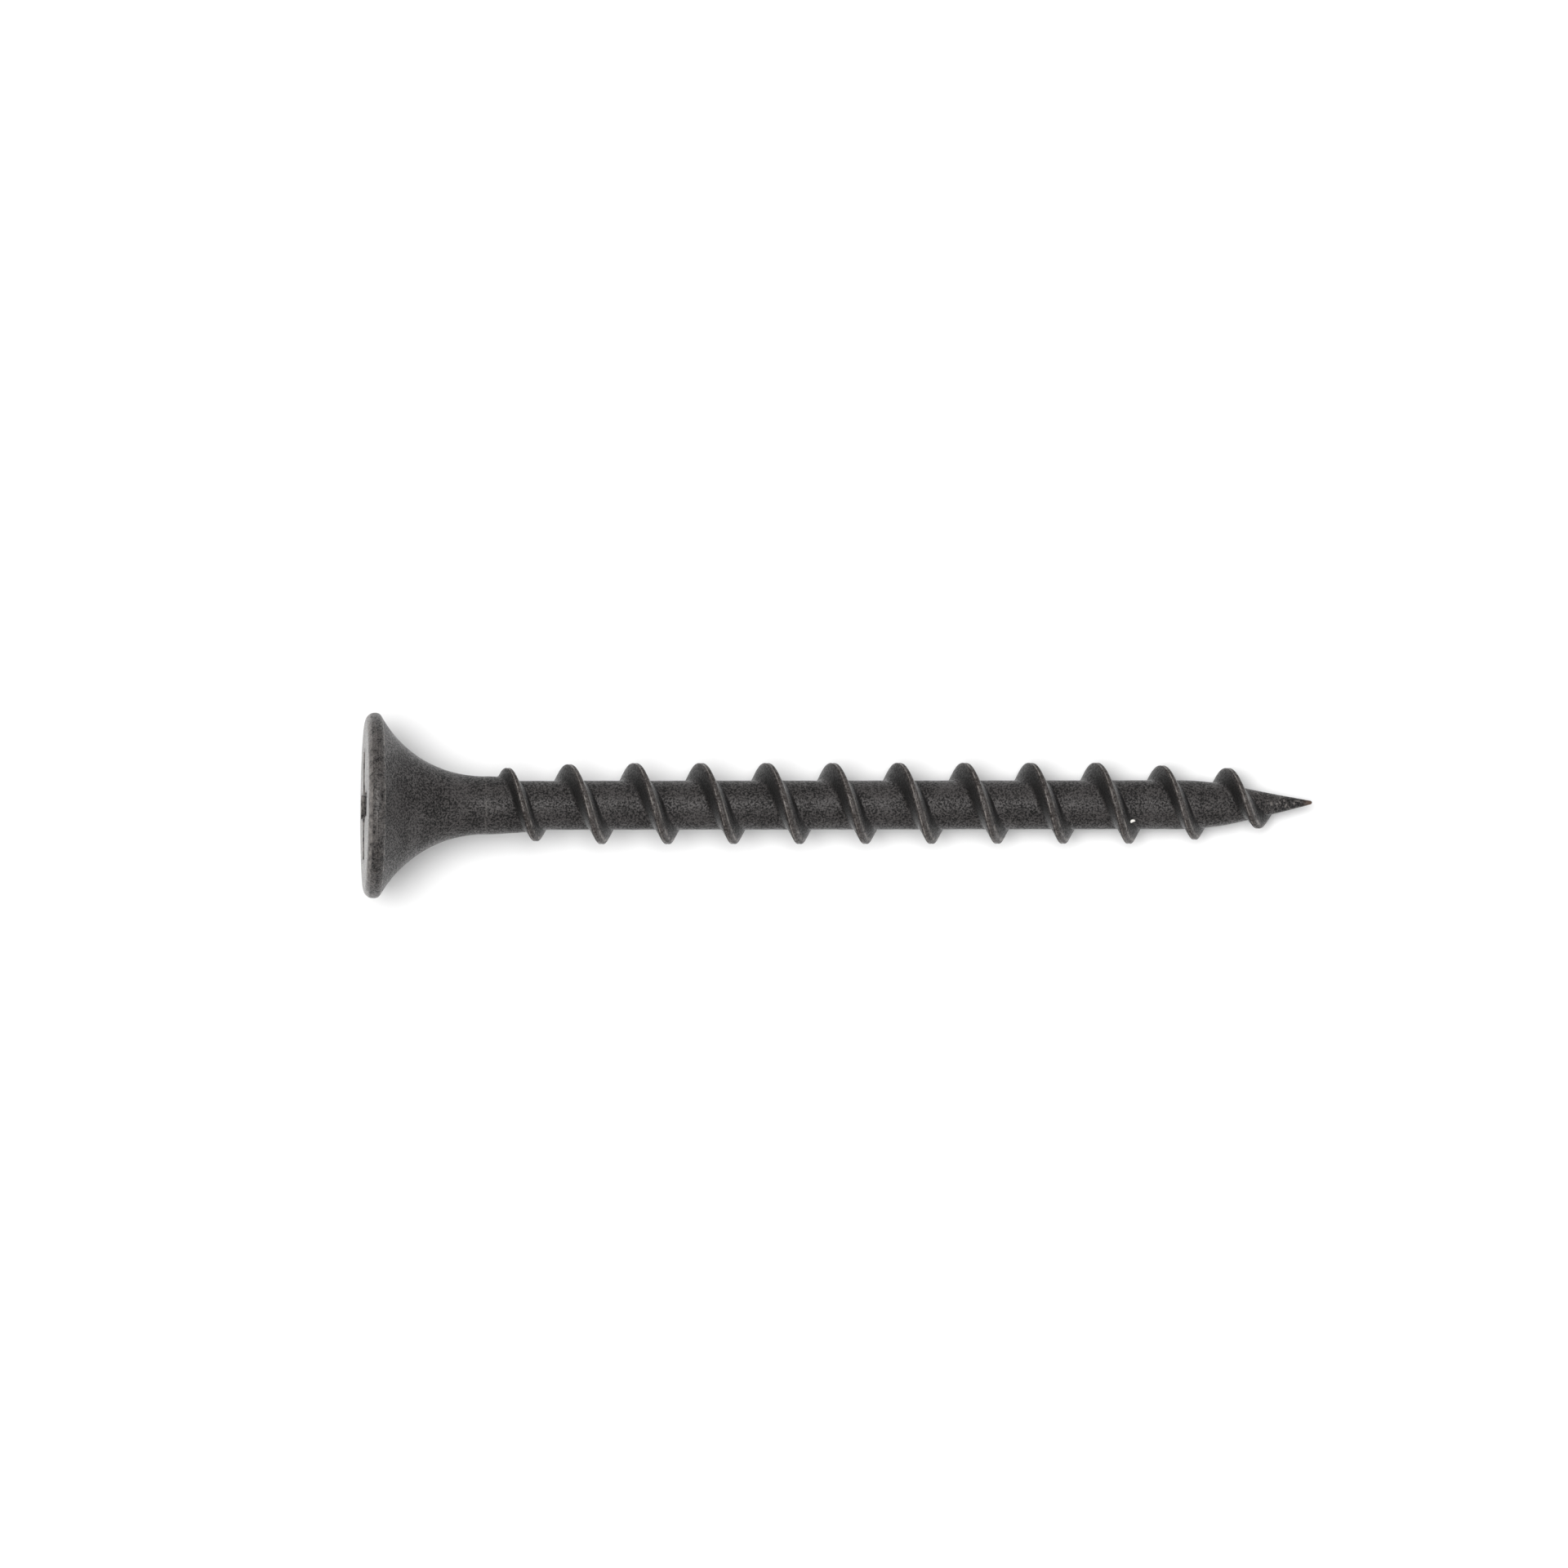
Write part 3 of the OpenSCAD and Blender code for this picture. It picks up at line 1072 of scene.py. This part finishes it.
def resting_slope():
    """The floor under the lying screw: a point on it, and its slope along the screw's axis.

    The screw lies on its rim and on the crests near its point, so its axis falls towards the point."""
    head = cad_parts["bugle_head"].data.vertices
    rim = max((v.co for v in head), key=lambda p: (round(-p.z, 5), p.x))
    behind = [v.co for n in ("thread", "point_thread", "point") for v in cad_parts[n].data.vertices]
    slope = min((p.z - rim.z) / (p.x - rim.x) for p in behind if p.x > TIP_X / 2)
    return rim.copy(), slope


class SCREW_OT_stage(bpy.types.Operator):
    """Makes the floor, the lights and the camera"""

    bl_idname = "screw.stage"
    bl_label = "Build stage"

    def execute(self, context):
        scene = context.scene
        stage = scene.screw_stage
        contact, slope = resting_slope()
        tilt = math.atan(slope)
        along = Vector((math.cos(tilt), 0, math.sin(tilt)))
        up = Vector((-math.sin(tilt), 0, math.cos(tilt)))
        level = Matrix((along, (0, 1, 0), up)).transposed()

        half = 1.0
        mesh = bpy.data.meshes.new("floor")
        signs = ((-1, -1), (1, -1), (1, 1), (-1, 1))
        corners = [contact + along * a * half + Vector((0, b * half, 0)) for a, b in signs]
        mesh.from_pydata(corners, [], [(0, 1, 2, 3)])
        mesh.materials.append(floor_finish(stage))
        floor = bpy.data.objects.new("floor", mesh)
        scene.collection.objects.link(floor)

        middle = Vector((stage.look_x, stage.look_y, 0))
        camera = bpy.data.objects.new("camera", bpy.data.cameras.new("camera"))
        camera.data.sensor_width = 36
        camera.data.lens = stage.lens
        distance = stage.view_width * camera.data.lens / camera.data.sensor_width
        camera.data.clip_start = distance / 100
        camera.data.clip_end = distance * 10
        turned = level @ Matrix.Rotation(stage.roll, 3, "Z")
        camera.matrix_world = Matrix.Translation(middle + up * distance) @ turned.to_4x4()
        scene.collection.objects.link(camera)
        scene.camera = camera

        world = bpy.data.worlds.new("studio")
        world.use_nodes = True
        world.node_tree.nodes["Background"].inputs["Color"].default_value = (1, 1, 1, 1)
        world.node_tree.nodes["Background"].inputs["Strength"].default_value = stage.sky_strength
        scene.world = world
        scene.view_settings.view_transform = "Standard"
        scene.view_settings.look = "None"

        # The softboxes hang one metre from the middle of the view and face it.
        for name, power, side, size in (
            ("key", stage.key_power, stage.key_from, stage.key_size),
            ("fill", stage.fill_power, stage.fill_from, stage.fill_size),
            ("side", stage.side_power, stage.side_from, stage.side_size),
        ):
            softbox = bpy.data.lights.new(name, "AREA")
            softbox.shape = "DISK"
            softbox.size = size
            softbox.energy = power
            lamp = bpy.data.objects.new(name, softbox)
            toward = (level @ Vector(side)).normalized()
            lamp.location = middle + toward
            lamp.rotation_euler = toward.to_track_quat("Z", "Y").to_euler()
            scene.collection.objects.link(lamp)
        return {"FINISHED"}


def floor_finish(stage):
    """Matt white paper with a barely visible tooth."""
    material = bpy.data.materials.new("floor_paper")
    material.use_nodes = True
    t = Tree(material.node_tree)
    shader = material.node_tree.nodes["Principled BSDF"]
    vector = t.add("ShaderNodeTexCoord").outputs["Object"]
    tooth = t.noise(vector, 0.4 * MM, detail=3.0)
    shade = t.remap(tooth, 0.3, 0.7, 0.0, 0.02)
    t.feed(shader.inputs["Base Color"], t.mix(shade, rgba(stage.floor_colour), (0.7, 0.7, 0.7, 1)))
    shader.inputs["Roughness"].default_value = 0.9
    shader.inputs["Specular IOR Level"].default_value = 0.1
    return material


class SCREW_PT_panel(bpy.types.Panel):
    """Lists the screw's parts and their sizes"""

    bl_label = "Wood screw"
    bl_idname = "SCREW_PT_panel"
    bl_space_type = "VIEW_3D"
    bl_region_type = "UI"
    bl_category = "Screw"

    def draw(self, context):
        for operator in OPERATORS:
            self.layout.operator(operator.bl_idname)
        for name in SETTINGS:
            group = getattr(context.scene, name)
            box = self.layout.box()
            for prop in group.bl_rna.properties:
                if prop.identifier not in {"name", "rna_type"}:
                    box.prop(group, prop.identifier)


SETTINGS = {
    "screw_head": HeadSettings,
    "screw_shank": ShankSettings,
    "screw_thread": ThreadSettings,
    "screw_finish": FinishSettings,
    "screw_stage": StageSettings,
}
OPERATORS = (SCREW_OT_stage, SCREW_OT_head, SCREW_OT_neck, SCREW_OT_core, SCREW_OT_point, SCREW_OT_thread)


def register():
    for cls in (*SETTINGS.values(), *OPERATORS, SCREW_PT_panel):
        bpy.utils.register_class(cls)
    for name, cls in SETTINGS.items():
        setattr(bpy.types.Scene, name, PointerProperty(type=cls))


def unregister():
    for name in SETTINGS:
        delattr(bpy.types.Scene, name)
    for cls in (SCREW_PT_panel, *OPERATORS, *SETTINGS.values()):
        bpy.utils.unregister_class(cls)


def main():
    """Builds the stage and every piece."""
    register()
    bpy.ops.screw.stage()
    bpy.ops.screw.head()
    bpy.ops.screw.neck()
    bpy.ops.screw.core()
    bpy.ops.screw.point()
    bpy.ops.screw.thread()


if __name__ == "__main__":
    main()
